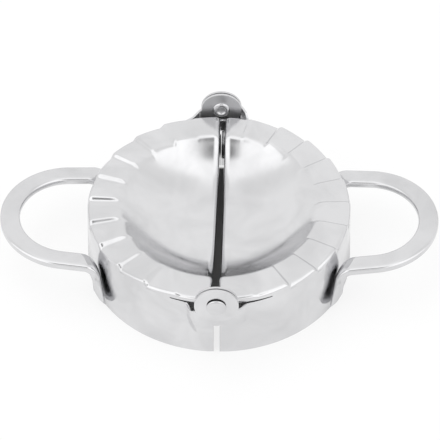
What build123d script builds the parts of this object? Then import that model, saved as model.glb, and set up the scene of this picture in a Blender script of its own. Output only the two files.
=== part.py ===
from build123d import *
import os
from math import atan, cos, degrees, radians, sin, sqrt, tan

# Folding dough press of pressed stainless sheet. Millimetres, +Z up, the base in the plane Z = 0.
# The hinge line runs along Y, the two handles point along +X and -X.
# The left half is the right half turned half round Z. Only the teeth differ: on both halves they
# are set off towards the rear, so that the two rims mesh when the press is folded shut.

# Pressed shell
cutter_diameter = 95.0      # lower edge of the skirt, which cuts the dough
rim_diameter = 93.2         # crimping rim, outside
rim_height = 25.5           # middle level of the rim above the base
rim_bend = 2.0              # outside radius where the rim turns down into the skirt
sheet = 0.8
bowl_mouth = 71.0
bowl_depth = 13.7
half_gap = 1.0              # each half ends this far from the hinge line
cut_flange = 2.0            # straight edges are turned down this far under the sheet

# Crimping teeth: ramps that climb one way round the rim and drop at each step
tooth_pitch = 15.0          # degrees
tooth_phase = 1.9           # degrees that the teeth are set off towards the rear
steps_each_side = 5         # steps on each side of the handle's axis, besides the one on it
tooth_rise = 1.4            # height of a step, measured at tooth_radius
tooth_radius = 41.0
step_run = 1.8              # plan width of the sloping face of a step
last_step_share = 0.4       # the steps next to the hinge are shallow
step_setback = 0.45         # the underside's steps lie this far behind those on top

# Hinge ears
hinge_rise = 0.9            # hinge line above the middle level of the rim
ear_radius = 7.5
inner_ear_face = 49.65      # outer face of the ear that lies inside, from the middle of the press
ear_gap = 0.1               # running gap between the two ears
rim_land = 0.8              # height of skirt left under the rim's bend, above the ears' windows
rim_slit = 0.4              # height of the slit that frees an ear's root from the rim

# Root of the outer ear, joggled out of the skirt
outer_root_span = 16.0      # the root leaves the skirt here, measured from the hinge line
outer_root_foot = 9.0       # the sheet starts to lean out at this height
outer_root_top = 15.0       # and reaches the ear's plane here
joggle_start = 10.6
notch_floor = 18.6          # bottom of the notch beside the ear
chin_floor = 16.6           # the root runs on past the hinge line above this height

# Root of the inner ear, lanced out of the skirt
inner_root_span = 19.0
lance_height = 16.0
root_overlap = 0.4          # how far a root runs on into the skirt that carries it

# Rivets
rivet_radius = 2.0
rivet_clearance = 0.06      # round the shank
head_clearance = 0.05       # between a head and the ear that it holds
head_radius = 3.3
dome_height = 1.4
flare_radius = 3.3
flare_height = 0.9
flare_edge = 0.3            # edges of the flare are this thick, and its rim is broken by as much
rivet_bore = 1.3

# Handles of flat bar
handle_reach = 78.4         # outer end, from the hinge line
bar_width = 7.1
bar_thickness = 3.5
bar_corner = 0.9
loop_radius = 25.0          # outside of the round end
handle_top = 18.6           # upper face above the base, where the arms meet the shell
handle_rise = 3.4           # degrees that the handle slopes up and outwards
arm_flare = 5.0             # degrees that each arm spreads towards the shell
leg_skew = 14.0             # direction round the shell in which a leg's flat faces, degrees
leg_bend = 2.0              # inside radius of the fold
leg_foot = 3.4              # lowest point of a leg
toe_corner = 2.6            # rounding of a leg's end
fold_sections = 6           # slices that the fold is drawn through
weld_gap = 0.05             # between the skirt and the leg's near edge

# Worked out from the sizes above
cutter_radius = cutter_diameter / 2
rim_radius = rim_diameter / 2
tooth_half = tooth_rise / 2
rim_peak = rim_height + tooth_half * rim_radius / tooth_radius
bend_height = rim_peak - rim_bend
taper = (cutter_radius - rim_radius) / bend_height
bowl_radius = ((bowl_mouth / 2) ** 2 + bowl_depth**2) / (2 * bowl_depth)
bowl_centre = rim_height - bowl_depth + bowl_radius
hinge_height = rim_height + hinge_rise
outer_ear_face = inner_ear_face + ear_gap + sheet
window_top = bend_height - rim_land
root_top = window_top - rim_slit
envelope = cutter_diameter  # size of the tool bodies that reach past the shell on every side
fit_passes = 4              # a leg's seat is settled in this many passes


def skirt_radius(height):
    # Outside radius of the skirt, which tapers from the cutting edge up to the rim
    return cutter_radius - taper * height


def puck(inset):
    # Turned envelope of the shell; an inset of one sheet gives the hollow under it
    foot, top = -inset, rim_peak - inset
    with BuildSketch(Plane.XZ) as profile:
        with BuildLine():
            Polyline((0, foot), (skirt_radius(foot) - inset, foot), (rim_radius - inset, bend_height))
            CenterArc((rim_radius - rim_bend, bend_height), rim_bend - inset, 0, 90)
            Polyline((rim_radius - rim_bend, top), (0, top), (0, foot))
        make_face()
    return revolve(profile.sketch, Axis.Z)


def tooth_line(phase):
    # Angles and heights of the ramps' ends, from one end of the hinge line to the other
    line = [(radians(-90), 0.0)]
    half_run = step_run / tooth_radius / 2
    for step in range(-steps_each_side, steps_each_side + 1):
        at = radians(step * tooth_pitch + phase)
        height = tooth_half * (last_step_share if abs(step) == steps_each_side else 1)
        line.append((at - half_run, height))
        line.append((at + half_run, -height))
    line.append((radians(90), 0.0))
    return line


def crimped_form(level, phase, setback):
    # Solid under the toothed surface: flat facets that fan out from the axis of the bowl
    floor = -envelope
    rise = envelope / tooth_radius
    turn = setback / tooth_radius
    line = tooth_line(phase)
    ring = []
    for number, (angle, height) in enumerate(line):
        at = angle if number in (0, len(line) - 1) else angle - turn
        ring.append(Vector(envelope * cos(at), envelope * sin(at), level + height * rise))
    foot = [Vector(point.X, point.Y, floor) for point in ring]
    apex, base = Vector(0, 0, level), Vector(0, 0, floor)
    faces = [Face(Wire.make_polygon([base] + foot))]
    for start, end, low_start, low_end in zip(ring, ring[1:], foot, foot[1:]):
        faces.append(Face(Wire.make_polygon([apex, start, end])))
        faces.append(Face(Wire.make_polygon([low_start, low_end, end, start])))
    faces.append(Face(Wire.make_polygon([base, foot[0], ring[0], apex])))
    faces.append(Face(Wire.make_polygon([base, foot[-1], ring[-1], apex])))
    return Solid(Shell(faces))


def bowl_form(wall):
    # Ball whose lowest part is the bowl; its poles lie on the hinge line, away from the sheet
    return Pos(0, 0, bowl_centre) * Rot(90, 0, 0) * Sphere(bowl_radius + wall)


def beyond(start):
    # Everything on the far side of the plane X = start
    return Pos(start + envelope, 0, 0) * Box(2 * envelope, 4 * envelope, 4 * envelope)


def pressing(phase):
    # The half bowl, rim and skirt, without ears
    outside = puck(0) & crimped_form(rim_height, phase, 0)
    hollow = (puck(sheet) & crimped_form(rim_height - sheet, phase, step_setback)) - bowl_form(sheet)
    flange_hollow = Pos(0, 0, -cut_flange) * hollow
    body = (outside - bowl_form(0)) & beyond(half_gap)
    body -= hollow & beyond(half_gap + sheet)
    return body - (flange_hollow - beyond(half_gap + sheet))


def inward(points):
    # The same line one sheet further in, with mitred corners
    normals = []
    for (x0, y0), (x1, y1) in zip(points, points[1:]):
        length = sqrt((x1 - x0) ** 2 + (y1 - y0) ** 2)
        normals.append(((y1 - y0) / length, (x0 - x1) / length))
    shifted = []
    for number, (x, y) in enumerate(points):
        ax, ay = normals[max(number - 1, 0)]
        bx, by = normals[min(number, len(normals) - 1)]
        reach = -sheet / (1 + ax * bx + ay * by)
        shifted.append((x + (ax + bx) * reach, y + (ay + by) * reach))
    return shifted


def wall_outline(points, height):
    # Plan of a folded sheet wall, whose outer face runs through the points
    ring = points + inward(points)[::-1]
    return Wire.make_polygon([Vector(x, y, height) for x, y in ring])


def wall(points, low, high):
    return extrude(Face(wall_outline(points, low)), high - low, Vector(0, 0, 1))


def root_line(span, level, ear_face, end):
    # Outer face of an ear's root in plan: straight off the skirt, a joggle, then flat to the end
    radius = skirt_radius(level)
    leave = sqrt(radius**2 - span**2)
    slope = span / leave
    past = span + root_overlap
    return [
        (past, leave - root_overlap * slope),
        (joggle_start, leave + (span - joggle_start) * slope),
        (ear_radius, ear_face),
        (end, ear_face),
    ]


def skirt_line(points, level):
    # Points of the round skirt at a level, one for each point of a root line
    radius = skirt_radius(level)
    return [(x, sqrt(radius**2 - x**2)) for x, y in points]


def ear(ear_face):
    # Round plate on the hinge line, its outer face at ear_face
    return Pos(0, ear_face - sheet / 2, hinge_height) * Rot(90, 0, 0) * Cylinder(ear_radius, sheet)


def window(span, low):
    # Part of the round skirt that the ear's root was made from
    depth = cutter_radius - bowl_mouth / 2
    centre = (span / 2, cutter_radius, (low + window_top) / 2)
    return Pos(*centre) * Box(span, depth, window_top - low)


def outer_ear():
    plate = root_line(outer_root_span, outer_root_top, outer_ear_face, half_gap)
    chin = root_line(outer_root_span, outer_root_top, outer_ear_face, -half_gap)[2:]
    lean = Solid.make_loft(
        [
            wall_outline(skirt_line(plate, outer_root_foot), outer_root_foot),
            wall_outline(plate, outer_root_top),
        ],
        True,
    )
    root = lean + wall(plate, outer_root_top, notch_floor) + wall(plate[:2], notch_floor, root_top)
    return root + wall(chin, chin_floor, root_top) + ear(outer_ear_face)


def inner_ear():
    plate = root_line(inner_root_span, root_top, inner_ear_face, -half_gap)
    return wall(plate, lance_height, root_top) + ear(inner_ear_face)


def half_shell(phase):
    # The outer ear stands at the rear end of this half, the inner ear at its front end
    shell = pressing(phase) - window(outer_root_span, outer_root_foot)
    shell -= mirror(window(inner_root_span, lance_height), Plane.XZ)
    hole = Pos(0, 0, hinge_height) * Rot(90, 0, 0) * Cylinder(rivet_radius + rivet_clearance, envelope * 2)
    return (shell + outer_ear() + mirror(inner_ear(), Plane.XZ)) - hole


def rivet():
    # Tubular rivet of the rear hinge: domed head outside, hollow flare on the inside
    head_seat = outer_ear_face + head_clearance
    flare_seat = inner_ear_face - sheet - head_clearance
    lip = flare_seat - flare_height
    with BuildSketch(Plane.YX) as profile:
        with BuildLine():
            Line((outer_ear_face, 0), (head_seat + dome_height, 0))
            EllipticalCenterArc((head_seat, 0), dome_height, head_radius, 0, arc_size=90)
            Polyline(
                (head_seat, head_radius),
                (head_seat, rivet_radius),
                (flare_seat, rivet_radius),
                (flare_seat, flare_radius),
            )
            Polyline(
                (flare_seat, flare_radius),
                (flare_seat - flare_edge, flare_radius),
                (lip, rivet_radius + flare_edge),
                (lip, rivet_bore + flare_edge),
                (lip + flare_edge, rivet_bore),
                (outer_ear_face, rivet_bore),
                (outer_ear_face, 0),
            )
        make_face()
    return Pos(0, 0, hinge_height) * revolve(profile.sketch, Axis.Y)


def half_turn(shape):
    return Rot(0, 0, 180) * shape


def leg_fit(near_line, lean, outer_bend, fold_end):
    # Where a leg's flat lies, and how far it leans in, so that its near edge lies along the skirt.
    # The arm's near edge runs off at near_line along the flat, and comes in at a slope of tan(lean).
    radius = skirt_radius(fold_end) + weld_gap
    slope, fold = tan(lean), radians(90)
    for _ in range(fit_passes):
        edge = near_line + (leg_bend + bar_thickness / 2) * slope * fold - outer_bend * sin(fold) * slope
        flat = cos(lean) * (edge * sin(lean) + sqrt(radius**2 - (edge * cos(lean)) ** 2))
        side = edge - flat * slope
        closing = (taper * radius - side * slope) / flat
        fold = radians(90 - handle_rise) + atan(closing)
    return flat, side, fold


def handle():
    # One arm with half of the round end is made and mirrored
    middle_radius = loop_radius - bar_width / 2
    loop_centre = handle_reach - loop_radius
    level = handle_top - bar_thickness / 2
    flare, skew = radians(arm_flare), radians(leg_skew)
    lean = flare + skew
    out = Vector(cos(skew), -sin(skew), 0)      # out of the shell, square to the fold
    along = Vector(-sin(skew), -cos(skew), 0)   # along the fold, towards the hinge
    arm = Vector(-cos(flare), -sin(flare), 0)
    arm_start = Vector(loop_centre + middle_radius * sin(flare), -middle_radius * cos(flare), level)

    # The fold bends the bar down round an axis under the arm, and its upper face onto the skirt
    fold_radius = leg_bend + bar_thickness / 2
    outer_bend = leg_bend + bar_thickness
    near_line = arm_start.dot(along) + tan(lean) * arm_start.dot(out) - bar_width / 2 / cos(lean)
    flat, side, fold = leg_fit(near_line, lean, outer_bend, level - fold_radius)
    fold_plane = flat + outer_bend * sin(fold)
    arm_length = (arm_start.dot(out) - fold_plane) / cos(lean)
    fold_start = arm_start + arm * arm_length

    # The arm runs on past the fold line and is cut along it, on the skew
    square = Plane(origin=arm_start, x_dir=Vector(arm.Y, -arm.X, 0), z_dir=-arm)
    section = square * RectangleRounded(bar_width, bar_thickness, bar_corner)
    fold_cut = Plane(origin=fold_start, x_dir=along, z_dir=out)
    bar = split(extrude(section, arm_length + bar_width, arm), fold_cut, keep=Keep.TOP)
    skew_face = bar.faces().sort_by_distance(fold_start)[0]

    middle_angle = radians(45 + arm_flare / 2)
    round_end = ThreePointArc(
        arm_start,
        (loop_centre + middle_radius * sin(middle_angle), -middle_radius * cos(middle_angle), level),
        (handle_reach - bar_width / 2, 0, level),
    )
    loop = sweep(section, round_end)

    # The bar also slides along the fold's axis as it bends, as a skewed strip does
    fold_axis = Axis(fold_start - Vector(0, 0, fold_radius), along)
    sections = []
    for number in range(fold_sections + 1):
        turned = fold * number / fold_sections
        slide = along * (fold_radius * tan(lean) * turned)
        sections.append(Pos(slide) * skew_face.rotate(fold_axis, degrees(turned)))
    fold_solid = loft(sections)

    face_out = out * sin(fold) - Vector(0, 0, cos(fold))
    down = along * sin(lean) - (out * cos(fold) + Vector(0, 0, sin(fold))) * cos(lean)
    leg_start = sections[-1].center()
    toe_drop = toe_corner + (bar_width / 2 - toe_corner) * sin(lean)
    leg_length = (leg_start.Z - leg_foot - toe_drop) / -down.Z + toe_corner
    leg_plane = Plane(origin=leg_start, x_dir=down, z_dir=face_out)
    toe = leg_plane * RectangleRounded(2 * leg_length, bar_width, toe_corner)
    leg = extrude(sections[-1], leg_length, down) & extrude(toe, bar_thickness, both=True)
    half = loop + bar + fold_solid + leg
    level_handle = half + mirror(half, Plane.XZ)
    seat = out * flat + along * side
    return level_handle.rotate(Axis((seat.X, 0, level - fold_radius), (0, -1, 0)), handle_rise)


right_handle = handle()
rear_rivet = rivet()
nodes = {
    "left_shell": half_turn(half_shell(-tooth_phase)),
    "right_shell": half_shell(tooth_phase),
    "left_handle": half_turn(right_handle),
    "right_handle": right_handle,
    "front_rivet": half_turn(rear_rivet),
    "rear_rivet": rear_rivet,
}

os.makedirs("parts", exist_ok=True)
for name, shape in nodes.items():
    export_step(shape, f"parts/{name}.step")
    print(name, round(shape.volume, 1), "mm3")
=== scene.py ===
import bpy
import bmesh
import numpy as np
from functools import partial
from math import acos, atan, atan2, cos, degrees, pi, radians, sin, sqrt, tan
from mathutils import Matrix, Vector
from mathutils.geometry import delaunay_2d_cdt


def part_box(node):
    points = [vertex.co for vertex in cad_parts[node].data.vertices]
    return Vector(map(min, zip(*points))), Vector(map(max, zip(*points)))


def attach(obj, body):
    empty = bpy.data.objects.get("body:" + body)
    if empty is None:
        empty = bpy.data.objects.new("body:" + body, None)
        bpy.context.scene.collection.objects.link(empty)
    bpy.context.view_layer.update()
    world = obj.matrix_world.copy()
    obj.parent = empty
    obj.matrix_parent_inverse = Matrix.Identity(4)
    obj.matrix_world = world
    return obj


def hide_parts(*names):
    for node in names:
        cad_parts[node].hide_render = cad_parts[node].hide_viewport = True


# Folding dough press laid open. Sizes in the dictionaries are millimetres and degrees, meshes are
# metres. Both halves are drawn as the right one, and the left one is turned half round Z.

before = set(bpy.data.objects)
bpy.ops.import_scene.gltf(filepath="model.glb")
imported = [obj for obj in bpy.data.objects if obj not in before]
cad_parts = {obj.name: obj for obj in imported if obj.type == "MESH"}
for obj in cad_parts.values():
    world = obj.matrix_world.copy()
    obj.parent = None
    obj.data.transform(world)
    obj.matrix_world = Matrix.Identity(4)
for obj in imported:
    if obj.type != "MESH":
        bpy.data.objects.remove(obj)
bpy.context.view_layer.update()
mm = 0.001
shellLow, shellHigh = (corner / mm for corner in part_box("right_shell"))
rivetLow, rivetHigh = (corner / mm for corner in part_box("rear_rivet"))
halfTurn = Matrix.Rotation(pi, 4, "Z")
weldDistance = 0.003


# Node helpers

def addNode(tree, kind, where, inputs=None, **settings):
    # Adds a node at a place in the editor's grid, and links or sets its inputs
    node = tree.nodes.new(kind)
    node.location = (where[0] * 180, -where[1] * 160)
    for name, value in settings.items():
        setattr(node, name, value)
    for key, value in (inputs or {}).items():
        if isinstance(value, bpy.types.NodeSocket):
            tree.links.new(value, node.inputs[key])
        else:
            node.inputs[key].default_value = value
    return node


def calc(tree, where, operation, *values):
    inputs = dict(enumerate(values))
    return addNode(tree, "ShaderNodeMath", where, inputs, operation=operation).outputs[0]


def remap(tree, where, value, low, high, first=0.0, last=1.0, kind="LINEAR"):
    # Goes from first to last while the value goes from low to high
    inputs = {"Value": value, "From Min": low, "From Max": high, "To Min": first, "To Max": last}
    return addNode(tree, "ShaderNodeMapRange", where, inputs, interpolation_type=kind).outputs[0]


def mixColour(tree, where, share, first, second):
    inputs = {0: share, 6: first, 7: second}
    return addNode(tree, "ShaderNodeMix", where, inputs, data_type="RGBA").outputs[2]


def axesOf(tree, where, output="Object"):
    place = addNode(tree, "ShaderNodeTexCoord", where)
    beside = (where[0] + 1, where[1])
    return addNode(tree, "ShaderNodeSeparateXYZ", beside, {0: place.outputs[output]}).outputs


def distance(tree, where, x, y):
    column, row = where
    squares = [calc(tree, (column - 2, row + n), "MULTIPLY", side, side)
               for n, side in enumerate((x, y))]
    return calc(tree, where, "SQRT", calc(tree, (column - 1, row), "ADD", *squares))


meshInputs = [
    ("Geometry", "NodeSocketGeometry", None), ("Material", "NodeSocketMaterial", None)]


def newTree(name, kind, inputs, outputs=(("Geometry", "NodeSocketGeometry"),)):
    # A node group with inputs given as (label, socket, value) and outputs as (label, socket)
    tree = bpy.data.node_groups.new(name, kind)
    for label, socketKind, value in inputs:
        socket = tree.interface.new_socket(label, in_out="INPUT", socket_type=socketKind)
        if value is not None:
            socket.default_value = value
    for label, socketKind in outputs:
        tree.interface.new_socket(label, in_out="OUTPUT", socket_type=socketKind)
    start, end = tree.nodes.new("NodeGroupInput"), tree.nodes.new("NodeGroupOutput")
    end.location = (3600, 0)
    return tree, start.outputs, end


def closeTree(tree, where, geometry, material, end):
    real = addNode(tree, "GeometryNodeRealizeInstances", where, {0: geometry})
    painted = addNode(tree, "GeometryNodeSetMaterial", (where[0] + 1, where[1]),
                      {"Geometry": real.outputs[0], "Material": material})
    tree.links.new(painted.outputs[0], end.inputs["Geometry"])


def runTree(holder, tree, values, name):
    # Runs a Geometry Nodes tree on an object and gives the result back as a plain mesh
    modifier = holder.modifiers.new("nodes", "NODES")
    modifier.node_group = tree
    sockets = {s.name: s.identifier for s in tree.interface.items_tree if s.in_out == "INPUT"}
    for label, value in values.items():
        modifier[sockets[label]] = value
    graph = bpy.context.evaluated_depsgraph_get()
    mesh = bpy.data.meshes.new_from_object(holder.evaluated_get(graph))
    mesh.name = name
    holder.modifiers.remove(modifier)
    bpy.data.objects.remove(holder)
    return mesh


# Mesh helpers

def newObject(name, data):
    thing = bpy.data.objects.new(name, data)
    bpy.context.scene.collection.objects.link(thing)
    return thing


def meshFrom(name, points, faces):
    mesh = bpy.data.meshes.new(name)
    mesh.from_pydata([tuple(p) for p in points], [], faces)
    mesh.update()
    return mesh


def weld(build):
    bmesh.ops.remove_doubles(build, verts=build.verts, dist=weldDistance * mm)
    bmesh.ops.recalc_face_normals(build, faces=build.faces)


def finishMesh(build, mesh, material):
    build.to_mesh(mesh)
    build.free()
    mesh.materials.clear()
    mesh.materials.append(material)
    mesh.polygons.foreach_set("use_smooth", [True] * len(mesh.polygons))


def roundEdges(piece, name, width, leastAngle, segments):
    bevel = piece.modifiers.new(name, "BEVEL")
    bevel.width = width * mm
    bevel.segments = segments
    bevel.limit_method = "ANGLE"
    bevel.angle_limit = radians(leastAngle)


# Materials

steels = {
    # Brightness clean and smudged, roughness where smooth and rough, fineness of the lines
    "shellSteel": {"clean": 0.74, "smudged": 0.66, "smooth": 0.10, "rough": 0.24, "lines": 300.0},
    "handleSteel": {"clean": 0.72, "smudged": 0.64, "smooth": 0.10, "rough": 0.22, "lines": 350.0},
    "rivetSteel": {"clean": 0.72, "smudged": 0.64, "smooth": 0.14, "rough": 0.26, "lines": 500.0},
}
polish = {
    "blue": 0.01,                 # the steel's blue is this much brighter
    "lineStretch": 0.04,          # draws the noise out into lines
    "lineDepth": 0.3,
    "lineShare": 0.45,            # of the roughness, the rest follows the smudges
    "smudgeScale": 55.0,
    "smudgeRange": (0.38, 0.68),  # of the noise, from clean to smudged
    "roughRange": (0.1, 0.75),
    "bumpStrength": 0.15,
    "bumpDistance": 0.02,
}
# Bands at both ends of the press, between two distances from its middle: painted shade, a
# near-black band in the seam under a rivet's head, and the inner ears, which are brushed duller
# than the rest of the sheet
rivetSeamShade = {"from": 50.55, "to": 51.0, "soft": 0.08, "brightness": 0.03}
earPolish = {"from": 48.0, "to": 49.9, "soft": 0.6, "above": 23.0, "roughness": 0.42}


def grey(brightness):
    return (brightness,) * 3 + (1,)


def steelGrey(brightness):
    return (brightness, brightness, brightness + polish["blue"], 1)


def newMaterial(name):
    material = bpy.data.materials.new(name)
    material.use_nodes = True
    return material, material.node_tree, material.node_tree.nodes["Principled BSDF"]


def steelInputs(steel):
    return {"Color": steelGrey(steel["clean"]), "Smudge Color": steelGrey(steel["smudged"]),
            "Smooth": steel["smooth"], "Rough": steel["rough"], "Line Scale": steel["lines"],
            "Line Depth": polish["lineDepth"]}


def brushedSteelGroup():
    # Fine polishing lines and soft smudges on bright steel
    inputs = [(label, "NodeSocketColor" if "Color" in label else "NodeSocketFloat", value)
              for label, value in steelInputs(steels["shellSteel"]).items()]
    tree, given, end = newTree("brushedSteel", "ShaderNodeTree", inputs, [
        ("Color", "NodeSocketColor"), ("Roughness", "NodeSocketFloat"),
        ("Height", "NodeSocketFloat")])
    place = addNode(tree, "ShaderNodeTexCoord", (0, 2))
    stretched = addNode(tree, "ShaderNodeMapping", (1, 2), {
        "Vector": place.outputs["Object"], "Scale": (1, polish["lineStretch"], 1)})
    lines = addNode(tree, "ShaderNodeTexNoise", (2, 2), {
        "Vector": stretched.outputs[0], "Scale": given["Line Scale"], "Detail": 3.0,
        "Roughness": 0.6}).outputs["Fac"]
    smudges = addNode(tree, "ShaderNodeTexNoise", (2, 4), {
        "Vector": place.outputs["Object"], "Scale": polish["smudgeScale"], "Detail": 4.0,
        "Roughness": 0.55, "Distortion": 0.6}).outputs["Fac"]
    cloudy = remap(tree, (3, 4), smudges, *polish["smudgeRange"])
    mixed = calc(tree, (4, 3), "MULTIPLY_ADD", lines, polish["lineShare"], calc(
        tree, (3, 3), "MULTIPLY", cloudy, 1 - polish["lineShare"]))
    colour = mixColour(tree, (5, 1), cloudy, given["Color"], given["Smudge Color"])
    roughness = remap(tree, (5, 3), mixed, *polish["roughRange"], given["Smooth"], given["Rough"])
    height = calc(tree, (5, 5), "MULTIPLY", lines, given["Line Depth"])
    for label, output in (("Color", colour), ("Roughness", roughness), ("Height", height)):
        tree.links.new(output, end.inputs[label])
    return tree


def steelMaterial(name, group):
    material, tree, shader = newMaterial(name)
    shader.inputs["Metallic"].default_value = 1.0
    brushed = addNode(
        tree, "ShaderNodeGroup", (-4, 0), steelInputs(steels[name]), node_tree=group)
    bump = addNode(tree, "ShaderNodeBump", (-2, 2), {
        "Strength": polish["bumpStrength"], "Distance": polish["bumpDistance"] * mm,
        "Height": brushed.outputs["Height"]})
    tree.links.new(brushed.outputs["Color"], shader.inputs["Base Color"])
    tree.links.new(brushed.outputs["Roughness"], shader.inputs["Roughness"])
    tree.links.new(bump.outputs[0], shader.inputs["Normal"])
    return material


def endBand(tree, row, y, band):
    # 1 between the band's two distances, 0 elsewhere
    near, far, soft = (band[key] * mm for key in ("from", "to", "soft"))
    away = calc(tree, (-7, row), "ABSOLUTE", y)
    rise = remap(tree, (-6, row), away, near - soft, near)
    fall = remap(tree, (-6, row + 1), away, far, far + soft, 1.0, 0.0)
    return calc(tree, (-5, row), "MULTIPLY", rise, fall)


# Painted shade: the rivet's base colour goes near black in a band round the seam under its head
def paintSeamShade(material):
    tree = material.node_tree
    colour = tree.nodes["Principled BSDF"].inputs["Base Color"]
    steel = colour.links[0].from_socket
    seam = endBand(tree, -3, axesOf(tree, (-9, -3))[1], rivetSeamShade)
    dark = mixColour(tree, (-2, -3), seam, steel, grey(rivetSeamShade["brightness"]))
    tree.links.new(dark, colour)


def dullEars(material):
    tree = material.node_tree
    roughness = tree.nodes["Principled BSDF"].inputs["Roughness"]
    steel = roughness.links[0].from_socket
    _, y, z = axesOf(tree, (-9, 4))
    floor, soft = earPolish["above"] * mm, earPolish["soft"] * mm
    high = remap(tree, (-6, 6), z, floor - soft, floor, last=earPolish["roughness"])
    dull = calc(tree, (-4, 4), "MULTIPLY", high, endBand(tree, 4, y, earPolish))
    tree.links.new(calc(tree, (-3, 4), "MAXIMUM", steel, dull), roughness)


steelGroup = brushedSteelGroup()
shellSteel, handleSteel, rivetSteel = (steelMaterial(name, steelGroup) for name in steels)
paintSeamShade(rivetSteel)
dullEars(shellSteel)
print("materials made")


# Pressed half shells

shell = {
    "cutterRadius": shellHigh.x,  # lower edge of the skirt
    "rimRadius": 46.6,
    "rimHeight": 25.5,            # middle level of the rim
    "rimBend": 1.65,              # radius where the rim turns down into the skirt
    "sheet": 0.8,
    "mouthRadius": 35.5,
    "mouthRounding": 2.6,
    "bowlDepth": 13.7,
    "bowlPower": 2.25,            # of the bowl's curve at right angles to the hinge line
    "bowlPowerGain": 0.9,         # what comes on top of it along the hinge line
    "bowlEndPower": 2.5,          # a higher one keeps that gain nearer to the hinge line
    "halfGap": 1.0,               # a half ends this far from the hinge line
    "rearHalfGap": 0.06,          # the slot down the skirt is nearly shut below the rear ears
    # How far the two ends of a straight edge stray outwards: front then rear on the right half,
    # rear then front on the left one
    "rightEdge": (-0.35, 0.4),
    "leftEdge": (-0.6, 0.7),
    "edgeWidth": 12.0,            # width of sheet that follows the straight edge
    "edgeRoll": 2.1,              # radius where the straight edge turns down
    "flange": 1.9,                # and how far it runs on below that
    "foot": 0.04,                 # keeps the rounded lower edge off the floor's plane
    "cutEdge": 0.12,              # rounding of the cut edges of the sheet
    "cutAngle": 60.0,             # edges sharper than this are cut edges
}
teeth = {
    "pitch": 15.0,
    "phase": 1.9,                 # the teeth of both halves are set off towards the rear
    "rise": 1.4,                  # height of a step, at this radius
    "radius": 41.0,
    "run": 2.9,                   # angle that the sloping face of a step takes up
    "lastStep": 5.0,              # steps on either side of the middle one
    "lastShare": 0.3,             # and the height of the last, as a share
}
ears = {
    "radius": 7.5,
    "outerFace": shellHigh.y,
    "innerFace": -shellLow.y,
    "hole": 2.06,
    "windowTop": 23.5,            # the skirt is open from here
    "rootTop": 23.1,              # down to the top of an ear's root
    "outerSpan": 16.0,            # the outer ear's root leaves the skirt here
    "outerFoot": 4.0,             # and leans out from this height
    "leanTop": 18.5,              # up to this one
    "joggleDrift": 2.6,           # the joggle runs in towards the hinge line lower down
    "joggleStart": 11.2,
    "joggleEnd": 7.0,
    "chinFloor": 16.6,            # above it, the root runs on past the hinge line
    "dish": 0.5,                  # the inner ear's round end is dished round the rivet
    "dishStart": 3.0,
    "innerSpan": 19.0,
    "lance": 16.0,                # lower edge of the inner ear's root
    # Cut edge from the round end to the root's top, as (x, z)
    "frontOuterEdge": [(7.5, 23.1), (8.4, 22.8), (9.5, 21.4), (10.5, 23.1)],
    "frontInnerEdge": [],
    "rearOuterEdge": [(7.5, 27.0), (9.6, 26.1), (10.5, 23.1)],
    "rearInnerEdge": [(7.5, 26.4), (16.0, 23.1)],
}
ears["hingeHeight"] = shellHigh.z - ears["radius"]
grid = {
    "columnTurn": 1.6,            # widest column of the shell's mesh
    "leastTurn": 0.05,            # columns closer than this become one
    # Columns to either side of a step, as shares of its run
    "stepShares": (0.0, 0.12, 0.25, 0.38, 0.5, 0.62),
    "squeezeFrom": 80.0,          # columns past this direction close up to the straight edge
    "bowlRows": 34,
    "mouthCoarse": 3.0,           # the bowl's even rows end this far inside the mouth
    "mouthFine": 1.2,             # and fine ones lie this far to either side of it
    "coarseRow": 0.4,
    "fineRow": 0.2,
    "rimRows": 9,
    "bendRows": 9,
    "skirtRow": 0.75,
    "rollColumns": 5,
    "flangeColumns": 3,
    "plateStep": 0.5,             # mesh of the ears
    "plateSpace": 0.6,            # its points keep this share of a step from the outline
    "holeSpace": 3.0,             # and this radius from the hole
    "leastEdge": 0.05,
    "roundEndPoints": 64,
    "holePoints": 36,
}
taper = (shell["cutterRadius"] - shell["rimRadius"]) / (shell["rimHeight"] - shell["rimBend"])
crimpValues = {
    "Pitch": teeth["pitch"], "Half Rise": teeth["rise"] / 2 * mm, "Step Run": teeth["run"],
    "Tooth Radius": teeth["radius"] * mm, "Last Step": teeth["lastStep"],
    "Last Share": teeth["lastShare"], "Rim Height": shell["rimHeight"] * mm,
    "Mouth Radius": shell["mouthRadius"] * mm, "Rounding": shell["mouthRounding"] * mm,
    "Bowl Depth": shell["bowlDepth"] * mm, "Bowl Power": shell["bowlPower"],
    "Bowl Power Gain": shell["bowlPowerGain"], "Bowl End Power": shell["bowlEndPower"],
}


def skirtRadius(height):
    return shell["cutterRadius"] - taper * height


def softStep(value):
    value = min(max(value, 0.0), 1.0)
    return value * value * (3 - 2 * value)


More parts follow.
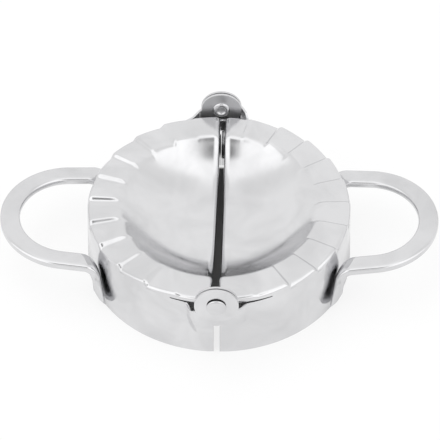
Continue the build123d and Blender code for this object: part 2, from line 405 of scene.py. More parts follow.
def crimpTree():
    # Raises the rim into ramps and steps, and lets the bowl dip through them
    inputs = [*meshInputs, ("Phase", "NodeSocketFloat", 0.0)]
    inputs += [(label, "NodeSocketFloat", value) for label, value in crimpValues.items()]
    tree, given, end = newTree("crimpedRim", "GeometryNodeTree", inputs)
    math = partial(calc, tree)
    place = addNode(tree, "GeometryNodeInputPosition", (0, 3))
    x, y, z = addNode(tree, "ShaderNodeSeparateXYZ", (1, 3), {0: place.outputs[0]}).outputs
    reach = distance(tree, (3, 5), x, y)
    angle = math((3, 2), "DEGREES", math((2, 2), "ARCTAN2", y, x))
    steps = math((4, 2), "DIVIDE", math((4, 3), "SUBTRACT", angle, given["Phase"]), given["Pitch"])
    firstStep = math((4, 5), "MULTIPLY", given["Last Step"], -1.0)
    nearest = math((5, 3), "MAXIMUM", math((4, 4), "ROUND", steps), firstStep)
    nearest = math((5, 2), "MINIMUM", nearest, given["Last Step"])
    away = math((6, 3), "MULTIPLY", math((6, 2), "SUBTRACT", steps, nearest), given["Pitch"])

    def attribute(name, row):
        return addNode(tree, "GeometryNodeInputNamedAttribute", (13, row), {"Name": name},
                       data_type="FLOAT").outputs[0]

    def amount(index, row):
        # Half the height of a step: whole, then less at the last one, and none past it
        size = math((7, row), "ABSOLUTE", index)
        beforeLast = math((7, row + 1), "SUBTRACT", given["Last Step"], 0.5)
        pastLast = math((7, row + 2), "ADD", given["Last Step"], 0.5)
        whole = math((8, row), "LESS_THAN", size, beforeLast)
        some = math((8, row + 1), "LESS_THAN", size, pastLast)
        some = math((8, row + 2), "MULTIPLY", some, given["Last Share"])
        rest = math((9, row + 1), "SUBTRACT", 1.0, given["Last Share"])
        share = math((9, row), "MULTIPLY_ADD", whole, rest, some)
        return math((10, row), "MULTIPLY", share, given["Half Rise"])

    here = amount(nearest, 2)
    before = amount(math((6, 6), "SUBTRACT", nearest, 1.0), 6)
    after = amount(math((6, 9), "ADD", nearest, 1.0), 10)
    part = math((7, 0), "DIVIDE", away, given["Pitch"])
    rising = math((11, 1), "MULTIPLY_ADD", part, math((11, 2), "ADD", here, before), here)
    falling = math((11, 5), "MULTIPLY", part, math((11, 6), "ADD", here, after))
    falling = math((11, 4), "SUBTRACT", falling, here)
    turn = remap(tree, (11, 9), away, math((10, 9), "MULTIPLY", given["Step Run"], -0.5),
                 math((10, 10), "MULTIPLY", given["Step Run"], 0.5), kind="SMOOTHSTEP")
    tooth = math((12, 2), "MULTIPLY_ADD", turn, math((12, 4), "SUBTRACT", falling, rising), rising)
    outward = math((13, 4), "DIVIDE", reach, given["Tooth Radius"])
    rim = math((13, 2), "MULTIPLY_ADD", tooth, outward, given["Rim Height"])
    endwise = math((10, 12), "ABSOLUTE", math((9, 12), "DIVIDE", y, reach))
    endwise = math((11, 12), "POWER", endwise, given["Bowl End Power"])
    power = math((12, 12), "MULTIPLY_ADD", endwise, given["Bowl Power Gain"], given["Bowl Power"])
    inward = math((12, 11), "DIVIDE", reach, given["Mouth Radius"])
    hollow = math((13, 11), "SUBTRACT", math((13, 12), "POWER", inward, power), 1.0)
    bowl = math((13, 6), "MULTIPLY_ADD", hollow, given["Bowl Depth"], given["Rim Height"])
    top = math((14, 3), "SMOOTH_MIN", rim, bowl, given["Rounding"])
    top = math((14, 4), "SUBTRACT", top, attribute("drop", 9))
    lift = math((15, 6), "SUBTRACT", top, z)
    level = math((15, 4), "MULTIPLY_ADD", attribute("crimp", 8), lift, z)
    moved = addNode(tree, "ShaderNodeCombineXYZ", (16, 4), {0: x, 1: y, 2: level})
    placed = addNode(tree, "GeometryNodeSetPosition", (17, 1), {
        "Geometry": given["Geometry"], "Position": moved.outputs[0]})
    closeTree(tree, (18, 1), placed.outputs[0], given["Material"], end)
    return tree


def windowAngle(ear):
    # Where the ear's root leaves the skirt
    return degrees(acos(ears[ear + "Span"] / skirtRadius(ears["lance"])))


def columnAngles(phase):
    # Directions round the shell, close together at the steps of the crimp
    marks = {-90.0, 90.0, round(windowAngle("outer"), 4), round(-windowAngle("inner"), 4)}
    last = int(teeth["lastStep"])
    for step in range(-last, last + 1):
        middle = step * teeth["pitch"] + phase
        for share in grid["stepShares"]:
            marks |= {round(middle + side * share * teeth["run"], 4) for side in (-1, 1)}
    angles = sorted(marks)
    filled = []
    for low, high in zip(angles, angles[1:]):
        count = max(1, round((high - low) / grid["columnTurn"]))
        filled += [low + (high - low) * n / count for n in range(count)]
    filled.append(angles[-1])
    return [a for n, a in enumerate(filled) if n == 0 or a - filled[n - 1] > grid["leastTurn"]]


def skirtLevels():
    stops = [ears["windowTop"], ears["rootTop"], ears["lance"], ears["outerFoot"], shell["foot"]]
    levels = []
    for high, low in zip(stops, stops[1:]):
        count = max(1, round((high - low) / grid["skirtRow"]))
        levels += [high - (high - low) * n / count for n in range(count)]
    return levels + [shell["foot"]]


def flatAngle(angle, radius):
    # The last columns squeeze up to the straight edge, the others point at the axis of the bowl
    hold = grid["squeezeFrom"]
    if abs(angle) <= hold:
        return radians(angle)
    edge = degrees(acos((shell["halfGap"] + shell["edgeRoll"]) / radius))
    squeezed = hold + (abs(angle) - hold) * (edge - hold) / (90 - hold)
    return radians(squeezed if angle > 0 else -squeezed)


def shellGrid(angles, levels):
    # Rows from the middle of the bowl's straight edge out to the cutting edge, columns round the
    # shell. A point is (x, y, z, share that the crimp moves it, drop below the crimp, share that
    # the straight edge turns down)
    mouth, bend = shell["mouthRadius"], shell["rimBend"]
    coarse, fine, band = grid["coarseRow"], grid["fineRow"], grid["mouthFine"]
    rimFlat = shell["rimRadius"] - bend
    edgeX = shell["halfGap"] + shell["edgeRoll"]

    def ring(radius, *rest):
        turns = [flatAngle(a, radius) for a in angles]
        return [(radius * cos(t), radius * sin(t), *rest) for t in turns]

    inside = mouth - grid["mouthCoarse"]
    innermost = ring(inside, 0, 1, 0, 1)
    rows = [[(edgeX + (x - edgeX) * share, y * share, *rest) for x, y, *rest in innermost]
            for share in np.linspace(0, 1, grid["bowlRows"])]
    radii = [*np.arange(inside + coarse, mouth - band, coarse),
             *np.arange(mouth - band, mouth + band + fine / 2, fine),
             *np.linspace(mouth + band + coarse, rimFlat, grid["rimRows"])]
    rows += [ring(radius, 0, 1, 0, 1) for radius in radii]
    for turn in np.linspace(0, 90, grid["bendRows"] + 1)[1:]:
        turn = radians(turn)
        rows.append(ring(rimFlat + bend * sin(turn), 0, 1, bend * (1 - cos(turn)), cos(turn)))
    return rows + [ring(skirtRadius(level), level, 0, 0, 0) for level in levels]


def rolledEdge(row, gaps):
    # Adds the turned-down straight edge at both ends of a row, and below the rim the flat skirt
    # up to its slot
    roll, flange, ends = shell["edgeRoll"], shell["flange"], grid["flangeColumns"]
    turns = [radians(turn) for turn in np.linspace(0, 90, grid["rollColumns"] + 1)[1:]]
    offsets = [(-roll * sin(turn), roll * (1 - cos(turn))) for turn in turns]
    offsets += [(-roll, roll + flange * n / ends) for n in range(1, ends + 1)]

    def edge(point, gap):
        x, y, z, crimp, drop, share = point
        if crimp:
            return [(x + dx, y, z, crimp, drop + dz * share, share) for dx, dz in offsets]
        count = len(offsets)
        return [(x + (gap - x) * n / count, y, z, crimp, drop, share) for n in range(1, count + 1)]

    return edge(row[0], gaps[0])[::-1] + row + edge(row[-1], gaps[1])


def slanted(point, ends):
    # Slants the straight edge of the bowl and rim
    x, y = point[:2]
    near = softStep(1 - (x - shell["halfGap"]) / shell["edgeWidth"])
    place = (y / shell["mouthRadius"] + 1) / 2
    return (x + near * (ends[0] + (ends[1] - ends[0]) * place),) + tuple(point[1:])


def rootLine(x, level, ear):
    # An ear's root runs straight off the skirt, then in a soft joggle out to the ear's plane
    span, foot = ears[ear + "Span"], ears["outerFoot"]
    leave = sqrt(skirtRadius(level) ** 2 - span ** 2)
    low = min(1.0, max(0.0, (ears["leanTop"] - level) / (ears["leanTop"] - foot)))
    inset = ears["joggleDrift"] * low
    start, finish = ears["joggleStart"] - inset, ears["joggleEnd"] - inset
    line = leave + (span - x) * span / leave
    return line + (ears[ear + "Face"] - line) * softStep((start - x) / (start - finish))


def plateFace(x, z, ear):
    # How far from the middle of the press the face of an ear and its root lies
    line = rootLine(x, z, ear)
    if ear == "outer":
        lean = softStep((z - ears["outerFoot"]) / (ears["leanTop"] - ears["outerFoot"]))
        skirt = sqrt(skirtRadius(z) ** 2 - x * x)
        return skirt + (line - skirt) * lean
    radius, start = ears["radius"], ears["dishStart"]
    away = sqrt(x * x + (z - ears["hingeHeight"]) ** 2)
    dished = min((away - start) / (radius - start), 1 - (away - radius) / radius)
    return line - ears["dish"] * max(0.0, dished)


def edgeLine(start, end):
    # Points of a straight cut edge, after its start
    start, end = Vector(start), Vector(end)
    count = max(1, round((end - start).length / grid["plateStep"]))
    return [tuple(start.lerp(end, n / count)) for n in range(1, count + 1)]


def plateOutline(ear, corners, column, bottomRow):
    # As (x, z): down the shell's column, in under the hinge line, round the ear and back
    radius, hinge = ears["radius"], ears["hingeHeight"]
    chinX = -shell["halfGap"]
    chinDrop = sqrt(radius ** 2 - chinX ** 2)
    leaveHeight = corners[0][1] if corners else ears["rootTop"]
    leave = max(-1.0, min(1.0, (leaveHeight - hinge) / radius))
    first = degrees(atan2(-chinDrop, chinX))
    last = degrees(atan2(leave, sqrt(1 - leave ** 2))) - 360
    outline = [(p[0], p[2]) for p in column + bottomRow[1:]]
    if ear == "outer":
        outline += edgeLine(outline[-1], (outline[-1][0], ears["chinFloor"]))
    outline += edgeLine(outline[-1], (chinX, outline[-1][1]))
    outline += edgeLine(outline[-1], (chinX, hinge - chinDrop))
    for n in range(1, grid["roundEndPoints"] + 1):
        turn = radians(first + (last - first) * n / grid["roundEndPoints"])
        outline.append((radius * cos(turn), hinge + radius * sin(turn)))
    for corner in corners:
        if (Vector(corner) - Vector(outline[-1])).length > grid["leastEdge"]:
            outline += edgeLine(outline[-1], corner)
    return outline + edgeLine(outline[-1], outline[0])[:-1]


def earPlate(ear, corners, column, bottomRow):
    # One plate from the skirt to the ear's round end, in the plane of the rear side. Its shared
    # edges are points of the shell: the column down the side, and for the outer ear the row below
    hinge, step, holePoints = ears["hingeHeight"], grid["plateStep"], grid["holePoints"]
    shared = {(round(p[0], 4), round(p[2], 4)): p[1] for p in column + bottomRow}
    outline = [Vector(p) for p in plateOutline(ear, corners, column, bottomRow)]
    count = len(outline)
    turns = [2 * pi * n / holePoints for n in range(holePoints)]
    hole = [Vector((ears["hole"] * cos(t), hinge + ears["hole"] * sin(t))) for t in turns]
    centre = Vector((0, hinge))
    inner = []
    for x in np.arange(-shell["halfGap"] + step, ears[ear + "Span"], step):
        for z in np.arange(ears["outerFoot"] + step / 2, hinge + ears["radius"], step):
            point = Vector((x, z))
            space = min((point - p).length for p in outline)
            if space > step * grid["plateSpace"] and (point - centre).length > grid["holeSpace"]:
                inner.append(point)
    edges = [(n, (n + 1) % count) for n in range(count)]
    edges += [(count + n, count + (n + 1) % holePoints) for n in range(holePoints)]
    flat, _, triangles, *_ = delaunay_2d_cdt(outline + hole + inner, edges, [], 2, 1e-5)
    plate = []
    for x, z in flat:
        out = shared.get((round(x, 4), round(z, 4)))
        plate.append((x, plateFace(x, z, ear) if out is None else out, z))
    return plate, triangles


def shellMesh(side, crimp):
    # Drawn as the right half, which has its outer ear at the rear
    way, outerEnd, innerEnd = (1, "rear", "front") if side == "right" else (-1, "front", "rear")
    phase, gaps = teeth["phase"] * way, (shell["halfGap"], shell["rearHalfGap"])[::way]
    angles, levels = columnAngles(phase), skirtLevels()
    rows = [rolledEdge(row, gaps) for row in shellGrid(angles, levels)]
    columns = len(rows[0])

    def columnAt(angle):
        return (columns - len(angles)) // 2 + min(
            range(len(angles)), key=lambda n: abs(angles[n] - angle))

    def rowAt(height):
        return len(rows) - len(levels) + levels.index(ears[height])

    outerColumn, innerColumn = columnAt(windowAngle("outer")), columnAt(-windowAngle("inner"))
    windowRow, footRow = rowAt("windowTop"), rowAt("outerFoot")
    lanceRow, rootRow = rowAt("lance"), rowAt("rootTop")
    for row in rows[:windowRow + 1]:
        row[:] = [slanted(p, shell[side + "Edge"]) for p in row]
    points = [p for row in rows for p in row]
    faces = []
    for r in range(len(rows) - 1):
        for c in range(columns - 1):
            if windowRow <= r < footRow and c >= outerColumn:
                continue
            if windowRow <= r < lanceRow and c < innerColumn:
                continue
            start = r * columns + c
            faces.append((start, start + columns, start + columns + 1, start + 1))
    sheet = meshFrom("shellBase", [(x * mm, y * mm, z * mm) for x, y, z, *_ in points], faces)
    for number, label, unit in ((3, "crimp", 1), (4, "drop", mm)):
        layer = sheet.attributes.new(label, "FLOAT", "POINT")
        layer.data.foreach_set("value", [p[number] * unit for p in points])
    mesh = runTree(newObject("shellBase", sheet), crimp,
                   {**crimpValues, "Phase": phase, "Material": shellSteel}, side + "ShellSheet")

    # The ears' plates are stitched to the open edges of the skirt
    outerSide = [row[outerColumn][:3] for row in rows[rootRow:footRow + 1]]
    outerFoot = [p[:3] for p in rows[footRow][outerColumn:]]
    innerSide = [row[innerColumn][:3] for row in rows[rootRow:lanceRow + 1]]
    innerSide = [(x, -y, z) for x, y, z in innerSide]
    build = bmesh.new()
    build.from_mesh(mesh)
    for ear, end, sign, column, foot in (("outer", outerEnd, 1, outerSide, outerFoot),
                                         ("inner", innerEnd, -1, innerSide, [])):
        corners = ears[end + ear.capitalize() + "Edge"]
        plate, triangles = earPlate(ear, corners, column, foot)
        made = [build.verts.new((x * mm, y * sign * mm, z * mm)) for x, y, z in plate]
        for triangle in triangles:
            build.faces.new([made[n] for n in triangle])
    weld(build)
    loose = [v for v in build.verts if not v.link_faces]
    bmesh.ops.delete(build, geom=loose, context="VERTS")
    if sum(f.normal.z * f.calc_area() for f in build.faces) < 0:
        bmesh.ops.reverse_faces(build, faces=build.faces)
    finishMesh(build, mesh, shellSteel)
    return mesh


crimp = crimpTree()
for side in ("right", "left"):
    mesh = shellMesh(side, crimp)
    if side == "left":
        mesh.transform(halfTurn)
    piece = newObject(side + "HalfShell", mesh)
    wall = piece.modifiers.new("sheet", "SOLIDIFY")
    wall.thickness = shell["sheet"] * mm
    wall.offset = -1
    wall.use_even_offset = True
    wall.use_quality_normals = True
    roundEdges(piece, "cutEdges", shell["cutEdge"], shell["cutAngle"], segments=2)
    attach(piece, side + "_half")
    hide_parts(side + "_shell")
print("half shells made")


# Handles: flat bar bent into a loop, then folded down on the skew and seated on the skirt

bar = {
    "reach": 78.4,                # outer end of the loop, from the hinge line
    "width": 7.1,
    "thickness": 3.5,
    "squareness": 3.2,            # of the bar's section: 2 is an ellipse, more is squarer
    "loopRadius": 25.0,
    "top": 18.6,                  # upper face above the base, where the arms meet the shell
    "rise": 3.4,                  # the handle slopes up and outwards
    "flare": 5.0,                 # the arms spread towards the shell
    "skew": 20.0,                 # direction round the shell in which a leg's flat faces
    "bend": 2.0,                  # inside radius of the fold
    "foot": 1.6,                  # lowest point of a leg
    "legTurn": 1.0,               # a leg winds round the skirt this far, down to its toe
    "legHug": 0.8,                # share of the space behind a leg's front edge that is closed
    "hugPace": 3.0,               # which is done this many times sooner than the toe
    "footSpread": 3.0,            # a foot is pressed wider towards the middle of the skirt
    "spreadPace": 1.4,
    "toeCorner": 3.0,
    "toeRounding": 0.5,
    "toeAngle": 50.0,             # edges sharper than this get that rounding
    "weldGap": 0.05,
    # Mesh columns across the bar, and rings along each stretch
    "across": 24,
    "loopRings": 40,
    "armRings": 9,
    "foldRings": 14,
    "legRings": 11,
}


def barSection():
    # Flat oval: pairs of (across, through), the same number on the upper and lower face
    half, deep, power = bar["width"] / 2, bar["thickness"] / 2, 2 / bar["squareness"]
    turns = [radians(180 - 180 * n / bar["across"]) for n in range(bar["across"] + 1)]
    upper = [(half * abs(cos(t)) ** power * (1 if cos(t) > 0 else -1), deep * abs(sin(t)) ** power)
             for t in turns]
    return upper + [(a, -b) for a, b in upper[-2:0:-1]]


def legSeat(nearLine, lean, foldEnd):
    # Where a leg's flat lies on the skirt, and the angle of the fold that brings it there
    radius = skirtRadius(foldEnd) + bar["weldGap"]
    middleBend, outerBend = bar["bend"] + bar["thickness"] / 2, bar["bend"] + bar["thickness"]
    slope, fold = tan(lean), radians(90)
    for _ in range(4):
        edge = nearLine + middleBend * slope * fold - outerBend * sin(fold) * slope
        flat = cos(lean) * (edge * sin(lean) + sqrt(radius ** 2 - (edge * cos(lean)) ** 2))
        side = edge - flat * slope
        fold = radians(90 - bar["rise"]) + atan((taper * radius - side * slope) / flat)
    return flat, side, fold


def legEnds(last, centre, down, widthWay, lean):
    # The leg's last ring, with a rounded toe that comes down to the foot's level
    w, toe = bar["width"], bar["toeCorner"]
    toeDrop = toe + (w / 2 - toe) * sin(lean)
    length = (centre.z - bar["foot"] - toeDrop) / -down.z + toe
    ends = []
    for p in last:
        into = max(0.0, abs((p - centre).dot(widthWay)) - (w / 2 - toe))
        started = (p - centre).dot(down)
        cut = toe - sqrt(max(0.0, toe ** 2 - into ** 2))
        ends.append(p + down * (length - started - cut))
    return ends


def windLeg(rings, section, face, legTop):
    # The leg winds a little round the skirt and hugs it, and its foot is pressed wider
    for ring in rings:
        for n, (a, b) in enumerate(section):
            p = ring[n]
            share = min(1.0, max(0.0, (legTop - p.z) / (legTop - bar["foot"])))
            inner = p - face * (b + bar["thickness"] / 2)
            reach, innerReach = (sqrt(q.x ** 2 + q.y ** 2) for q in (p, inner))
            space = max(0.0, innerReach - skirtRadius(p.z) - bar["weldGap"])
            near = (reach - space * bar["legHug"] * softStep(share * bar["hugPace"])) / reach
            pressed = softStep(share * bar["spreadPace"]) * (0.5 - a / bar["width"])
            turn = bar["footSpread"] * pressed - bar["legTurn"] * share
            ring[n] = Matrix.Rotation(radians(turn), 3, "Z") @ Vector((p.x * near, p.y * near, p.z))


def handleRings(section):
    # Sections of half a handle from the middle of its round end to the toe, and where it folds
    w, t = bar["width"], bar["thickness"]
    middle = bar["loopRadius"] - w / 2
    centreX = bar["reach"] - bar["loopRadius"]
    level = bar["top"] - t / 2
    flare, skew = radians(bar["flare"]), radians(bar["skew"])
    lean = flare + skew
    up = Vector((0, 0, 1))
    out = Vector((cos(skew), -sin(skew), 0))
    along = Vector((-sin(skew), -cos(skew), 0))
    arm = Vector((-cos(flare), -sin(flare), 0))
    armStart = Vector((centreX + middle * sin(flare), -middle * cos(flare), level))
    foldRadius = bar["bend"] + t / 2
    legTop = level - foldRadius
    nearLine = armStart.dot(along) + tan(lean) * armStart.dot(out) - w / 2 / cos(lean)
    flat, side, fold = legSeat(nearLine, lean, legTop)
    foldPlane = flat + (bar["bend"] + t) * sin(fold)
    rings = []

    def atFold(p):
        return p + arm * ((foldPlane - p.dot(out)) / arm.dot(out))

    # Round end, from its middle to the arm
    for turn in np.linspace(0, radians(90 - bar["flare"]), bar["loopRings"]):
        outward = Vector((cos(turn), -sin(turn), 0))
        centre = Vector((centreX, 0, level)) + outward * middle
        rings.append([centre + outward * a + up * b for a, b in section])
    # Straight arm up to the fold line, which runs on the skew
    across = Vector((sin(flare), -cos(flare), 0))
    starts = [armStart + across * a + up * b for a, b in section]
    ends = [atFold(p) for p in starts]
    for share in np.linspace(0, 1, bar["armRings"] + 1)[1:]:
        rings.append([s.lerp(e, share) for s, e in zip(starts, ends)])
    # Fold: the skewed section turns about an axis under the arm and slides along it
    hub = atFold(armStart) - up * foldRadius
    for n in range(1, bar["foldRings"] + 1):
        turned = fold * n / bar["foldRings"]
        spin = Matrix.Rotation(turned, 3, along)
        slide = along * (foldRadius * tan(lean) * turned)
        rings.append([hub + spin @ (p - hub) + slide for p in ends])
    # Leg
    face = out * sin(fold) - up * cos(fold)
    down = along * sin(lean) - (out * cos(fold) + up * sin(fold)) * cos(lean)
    last = rings[-1]
    centre = sum(last, Vector()) / len(section)
    ends = legEnds(last, centre, down, down.cross(face).normalized(), lean)
    for share in np.linspace(0, 1, bar["legRings"] + 1)[1:]:
        rings.append([s.lerp(e, share) for s, e in zip(last, ends)])
    windLeg(rings[-bar["legRings"] - bar["foldRings"]:], section, face, legTop)
    return rings, Vector(((out * flat + along * side).x, 0, legTop))


def barFaces(ringCount, count):
    # Faces between neighbouring rings, and strips across the last one
    faces = []
    for r in range(ringCount - 1):
        for c in range(count):
            d = (c + 1) % count
            faces.append([(r + dr) * count + dc for dr, dc in ((0, c), (0, d), (1, d), (1, c))])
    base, half = (ringCount - 1) * count, count // 2
    for c in range(1, half - 1):
        faces.append((base + c, base + c + 1, base + count - 1 - c, base + count - c))
    faces.append((base, base + 1, base + count - 1))
    faces.append((base + half - 1, base + half, base + half + 1))
    return faces


def handleMesh(name):
    section = barSection()
    rings, pivot = handleRings(section)
    build = bmesh.new()
    made = [build.verts.new(p * mm) for ring in rings for p in ring]
    for face in barFaces(len(rings), len(section)):
        build.faces.new([made[n] for n in face])
    # The other arm is its mirror image
    whole = build.verts[:] + build.edges[:] + build.faces[:]
    for twin in bmesh.ops.duplicate(build, geom=whole)["geom"]:
        if isinstance(twin, bmesh.types.BMVert):
            twin.co.y = -twin.co.y
    weld(build)
    lift = Matrix.Rotation(-radians(bar["rise"]), 4, "Y")
    build.transform(Matrix.Translation(pivot * mm) @ lift @ Matrix.Translation(-pivot * mm))
    mesh = bpy.data.meshes.new(name)
    finishMesh(build, mesh, handleSteel)
    return mesh


for side in ("right", "left"):
    mesh = handleMesh(side + "HandleBar")
    if side == "left":
        mesh.transform(halfTurn)
    piece = newObject(side + "BarHandle", mesh)
    roundEdges(piece, "toeEdges", bar["toeRounding"], bar["toeAngle"], segments=3)
    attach(piece, side + "_half")
    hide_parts(side + "_handle")
print("handles made")


# Tubular rivets, one tree for both

rivet = {
    "radius": 2.0,
    "headRadius": rivetHigh.x,
    "headSeat": 50.6,             # from the middle of the press
    "headTop": rivetHigh.y,
    "headWall": 0.5,              # straight side of the head below its dome
    "headTaper": 0.1,
    "flareSeat": 48.8,
    "flareEnd": rivetLow.y,
    "bore": 1.3,
    "arcSteps": 12,
    "turns": 64,
    "sweepRadius": 1.0,           # of the circle that carries the profile round the axis
}
latheValues = {"Turns": rivet["turns"], "Sweep Radius": rivet["sweepRadius"] * mm,
               "Hinge Height": ears["hingeHeight"] * mm}


def rivetProfile():
    # Half section, as (distance along the rivet, radius), from the dome's tip to the bore's bottom
    head, flare, steps = rivet["headSeat"], rivet["flareSeat"], rivet["arcSteps"]
    wall = head + rivet["headWall"]
    dome = rivet["headTop"] - wall
    bead = (rivet["headRadius"] - rivet["bore"]) / 2
    line = []
    for n in range(steps + 1):
        turn = radians(90 * n / steps)
        line.append((wall + dome * cos(turn), rivet["headRadius"] * sin(turn)))
    line += [(head, rivet["headRadius"] - rivet["headTaper"]), (head, rivet["radius"]),
             (flare, rivet["radius"])]
    for n in range(steps + 1):
        turn = radians(180 * n / steps)
        line.append((flare - (flare - rivet["flareEnd"]) * sin(turn),
                     rivet["bore"] + bead * (1 + cos(turn))))
    return line + [(head, rivet["bore"]), (head, 0.0)]


def latheTree():
    # Turns a flat profile round the rivet's axis and sets the rivet down on the hinge line
    inputs = [(label, "NodeSocketInt" if label == "Turns" else "NodeSocketFloat", value)
              for label, value in latheValues.items()]
    tree, given, end = newTree("turnedRivet", "GeometryNodeTree", meshInputs + inputs)
    circle = addNode(tree, "GeometryNodeCurvePrimitiveCircle", (1, 2), {
        "Resolution": given["Turns"], "Radius": given["Sweep Radius"]})
    faced = addNode(tree, "GeometryNodeSetCurveNormal", (2, 2), {"Curve": circle.outputs[0]},
                    mode="Z_UP")
    profile = addNode(tree, "GeometryNodeMeshToCurve", (1, 4), {"Mesh": given["Geometry"]})
    swept = addNode(tree, "GeometryNodeCurveToMesh", (3, 2), {
        "Curve": faced.outputs[0], "Profile Curve": profile.outputs[0]})
    turned = addNode(tree, "GeometryNodeTransform", (4, 2), {
        "Geometry": swept.outputs[0], "Rotation": (-pi / 2, 0, 0)})
    height = addNode(tree, "ShaderNodeCombineXYZ", (4, 4), {2: given["Hinge Height"]})
    placed = addNode(tree, "GeometryNodeTransform", (5, 2), {
        "Geometry": turned.outputs[0], "Translation": height.outputs[0]})
    closeTree(tree, (6, 2), placed.outputs[0], given["Material"], end)
    return tree


lathe = latheTree()
for side in ("rear", "front"):
    # The sweep reads the profile's X as the way out from the circle, and its Y as the way along
    line = [((r - rivet["sweepRadius"]) * mm, a * mm, 0) for a, r in rivetProfile()]
    profile = bpy.data.meshes.new("rivetProfile")
    profile.from_pydata(line, [(n, n + 1) for n in range(len(line) - 1)], [])
    mesh = runTree(newObject("rivetBase", profile), lathe,
                   {**latheValues, "Material": rivetSteel}, side + "Rivet")
    build = bmesh.new()
    build.from_mesh(mesh)
    weld(build)
    finishMesh(build, mesh, rivetSteel)
    if side == "front":
        mesh.transform(halfTurn)
    piece = newObject(side + "HingeRivet", mesh)
    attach(piece, "left_half")
    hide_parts(side + "_rivet")
print("rivets made")


# Floor, light and camera

studio = {
    "floorSize": 3000.0,
    "floorGrey": 0.88,
    "floorRoughness": 0.8,
    "floorGlow": 0.8,             # share of the floor's own white, the rest takes the shadow
    # The floor under the press doesn't glow, as seen and as mirrored, and below the gap between
    # the halves its colour is painted dark as shade
    "seenCentre": 6.0,
    "seenRadius": (38.5, 40.0),
    "mirrorRadius": (39.5, 43.5),
    "mirrorWidth": 1.25,          # the mirrored part is this much wider than it is long
    "deepShade": (2.0, 14.0),
    "shadeGrey": 0.3,
    # Brightness of the room over the press, from below the rear horizon over the top to the front
    # horizon: in the plane of view, and well to either side of it
    "archMiddle": [(-90, 0.55), (-6, 0.50), (3, 0.80), (11, 1.0), (60, 1.0), (80, 1.08), (96, 1.28),
                   (118, 1.3), (123, 0.25), (134, 0.22), (140, 1.0), (180, 0.8)],
    "archSides": [(-90, 0.60), (-6, 0.55), (4, 0.80), (12, 1.0), (56, 1.0), (76, 0.92), (90, 0.95),
                  (102, 1.35), (150, 1.4), (180, 0.8)],
    "middleWidth": (0.19, 0.40),  # where the middle gives way to the sides
    "lampPower": 1.8,
    "lampSize": (900.0, 600.0),
    "lampPlace": (-350.0, 150.0, 900.0),
    "lens": 153.97,
    "sensor": 36.0,
    "cameraPlace": (8.647, -476.256, 491.635),
    "cameraTarget": (0.409, -4.303, 21.258),
}


def archRamp(tree, where, arch, turn, top):
    low, high = arch[0][0], arch[-1][0]
    ramp = addNode(tree, "ShaderNodeValToRGB", (where[0] + 1, where[1]), {
        0: remap(tree, where, turn, low, high)})
    ramp.color_ramp.interpolation = "EASE"
    stops = ramp.color_ramp.elements
    for number, (angle, value) in enumerate(arch):
        position = (angle - low) / (high - low)
        stop = stops[number] if number < 2 else stops.new(position)
        stop.position = position
        stop.color = grey(value / top)
    return ramp.outputs["Color"]


def studioWorld():
    world = bpy.data.worlds.new("paleStudio")
    bpy.context.scene.world = world
    world.use_nodes = True
    tree = world.node_tree
    background = tree.nodes["Background"]
    x, y, z = axesOf(tree, (-8, 0), "Generated")
    turn = calc(tree, (-6, 0), "DEGREES", calc(tree, (-6, 1), "ARCTAN2", z, y))
    top = max(value for _, value in studio["archMiddle"] + studio["archSides"])
    middle = archRamp(tree, (-5, 0), studio["archMiddle"], turn, top)
    sides = archRamp(tree, (-5, 2), studio["archSides"], turn, top)
    aside = remap(tree, (-5, 4), calc(tree, (-6, 4), "ABSOLUTE", x), *studio["middleWidth"],
                  kind="SMOOTHSTEP")
    room = mixColour(tree, (-3, 1), aside, middle, sides)
    # The camera sees plain white instead of the room
    path = addNode(tree, "ShaderNodeLightPath", (-3, 3)).outputs
    seen = calc(tree, (-2, 3), "MAXIMUM", path["Is Camera Ray"], path["Is Transmission Ray"])
    strength = addNode(tree, "ShaderNodeMix", (-1, 2), {0: seen, 2: top, 3: 1.0}, data_type="FLOAT")
    colour = mixColour(tree, (-1, 0), seen, room, grey(1.0))
    tree.links.new(colour, background.inputs["Color"])
    tree.links.new(strength.outputs[0], background.inputs["Strength"])


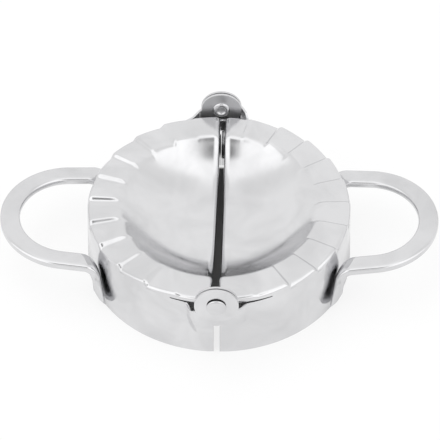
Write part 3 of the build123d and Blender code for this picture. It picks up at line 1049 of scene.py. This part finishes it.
def studioFloor():
    half = studio["floorSize"] / 2 * mm
    corners = [(-half, -half, 0), (half, -half, 0), (half, half, 0), (-half, half, 0)]
    mesh = meshFrom("floor", corners, [(0, 1, 2, 3)])
    floor = newObject("floor", mesh)
    material, tree, shader = newMaterial("paleFloor")
    shader.inputs["Roughness"].default_value = studio["floorRoughness"]
    glow = addNode(tree, "ShaderNodeEmission", (1, 3), {"Color": grey(1.0), "Strength": 1.0})
    path = addNode(tree, "ShaderNodeLightPath", (-3, 0)).outputs
    x, y, _ = axesOf(tree, (-9, 4))

    def clearOf(row, centre, width, radii):
        # 0 under the press and 1 clear of it
        sideways = calc(tree, (-7, row), "DIVIDE", x, width)
        endwise = calc(tree, (-7, row + 1), "SUBTRACT", y, centre * mm)
        away = distance(tree, (-4, row), sideways, endwise)
        return remap(tree, (-3, row), away, *(r * mm for r in radii), kind="SMOOTHSTEP")

    seen = clearOf(2, studio["seenCentre"], 1.0, studio["seenRadius"])
    mirrored = clearOf(4, 0.0, studio["mirrorWidth"], studio["mirrorRadius"])
    share = calc(tree, (0, 1), "MULTIPLY", studio["floorGlow"], calc(
        tree, (-1, 1), "MAXIMUM", calc(tree, (-2, 1), "MULTIPLY", path["Is Camera Ray"], seen),
        calc(tree, (-2, 2), "MULTIPLY", path["Is Glossy Ray"], mirrored)))
    # Painted shade: the floor's base colour goes dark near the hinge line under the press
    aside = remap(tree, (-3, 6), calc(tree, (-4, 6), "ABSOLUTE", x),
                  *(r * mm for r in studio["deepShade"]), kind="SMOOTHSTEP")
    shade = mixColour(tree, (-1, 5), calc(tree, (-2, 5), "MAXIMUM", seen, aside),
                      grey(studio["shadeGrey"]), grey(studio["floorGrey"]))
    tree.links.new(shade, shader.inputs["Base Color"])
    mixed = addNode(tree, "ShaderNodeMixShader", (2, 0), {
        0: share, 1: shader.outputs[0], 2: glow.outputs[0]})
    tree.links.new(mixed.outputs[0], tree.nodes["Material Output"].inputs["Surface"])
    mesh.materials.append(material)


def aimedObject(name, data, place, target):
    thing = newObject(name, data)
    thing.location = Vector(place) * mm
    way = Vector(target) * mm - thing.location
    thing.rotation_euler = way.to_track_quat("-Z", "Y").to_euler()
    return thing


def softLamp():
    data = bpy.data.lights.new("softLamp", "AREA")
    data.shape = "RECTANGLE"
    data.size, data.size_y = (side * mm for side in studio["lampSize"])
    data.energy = studio["lampPower"]
    lamp = aimedObject("softLamp", data, studio["lampPlace"], (0, 0, 0))
    lamp.visible_glossy = False


def photoCamera():
    data = bpy.data.cameras.new("camera")
    data.sensor_width = studio["sensor"]
    data.lens = studio["lens"]
    camera = aimedObject("camera", data, studio["cameraPlace"], studio["cameraTarget"])
    bpy.context.scene.camera = camera


studioWorld()
studioFloor()
photoCamera()
softLamp()
bpy.context.scene.view_settings.view_transform = "Standard"
print("stage set")
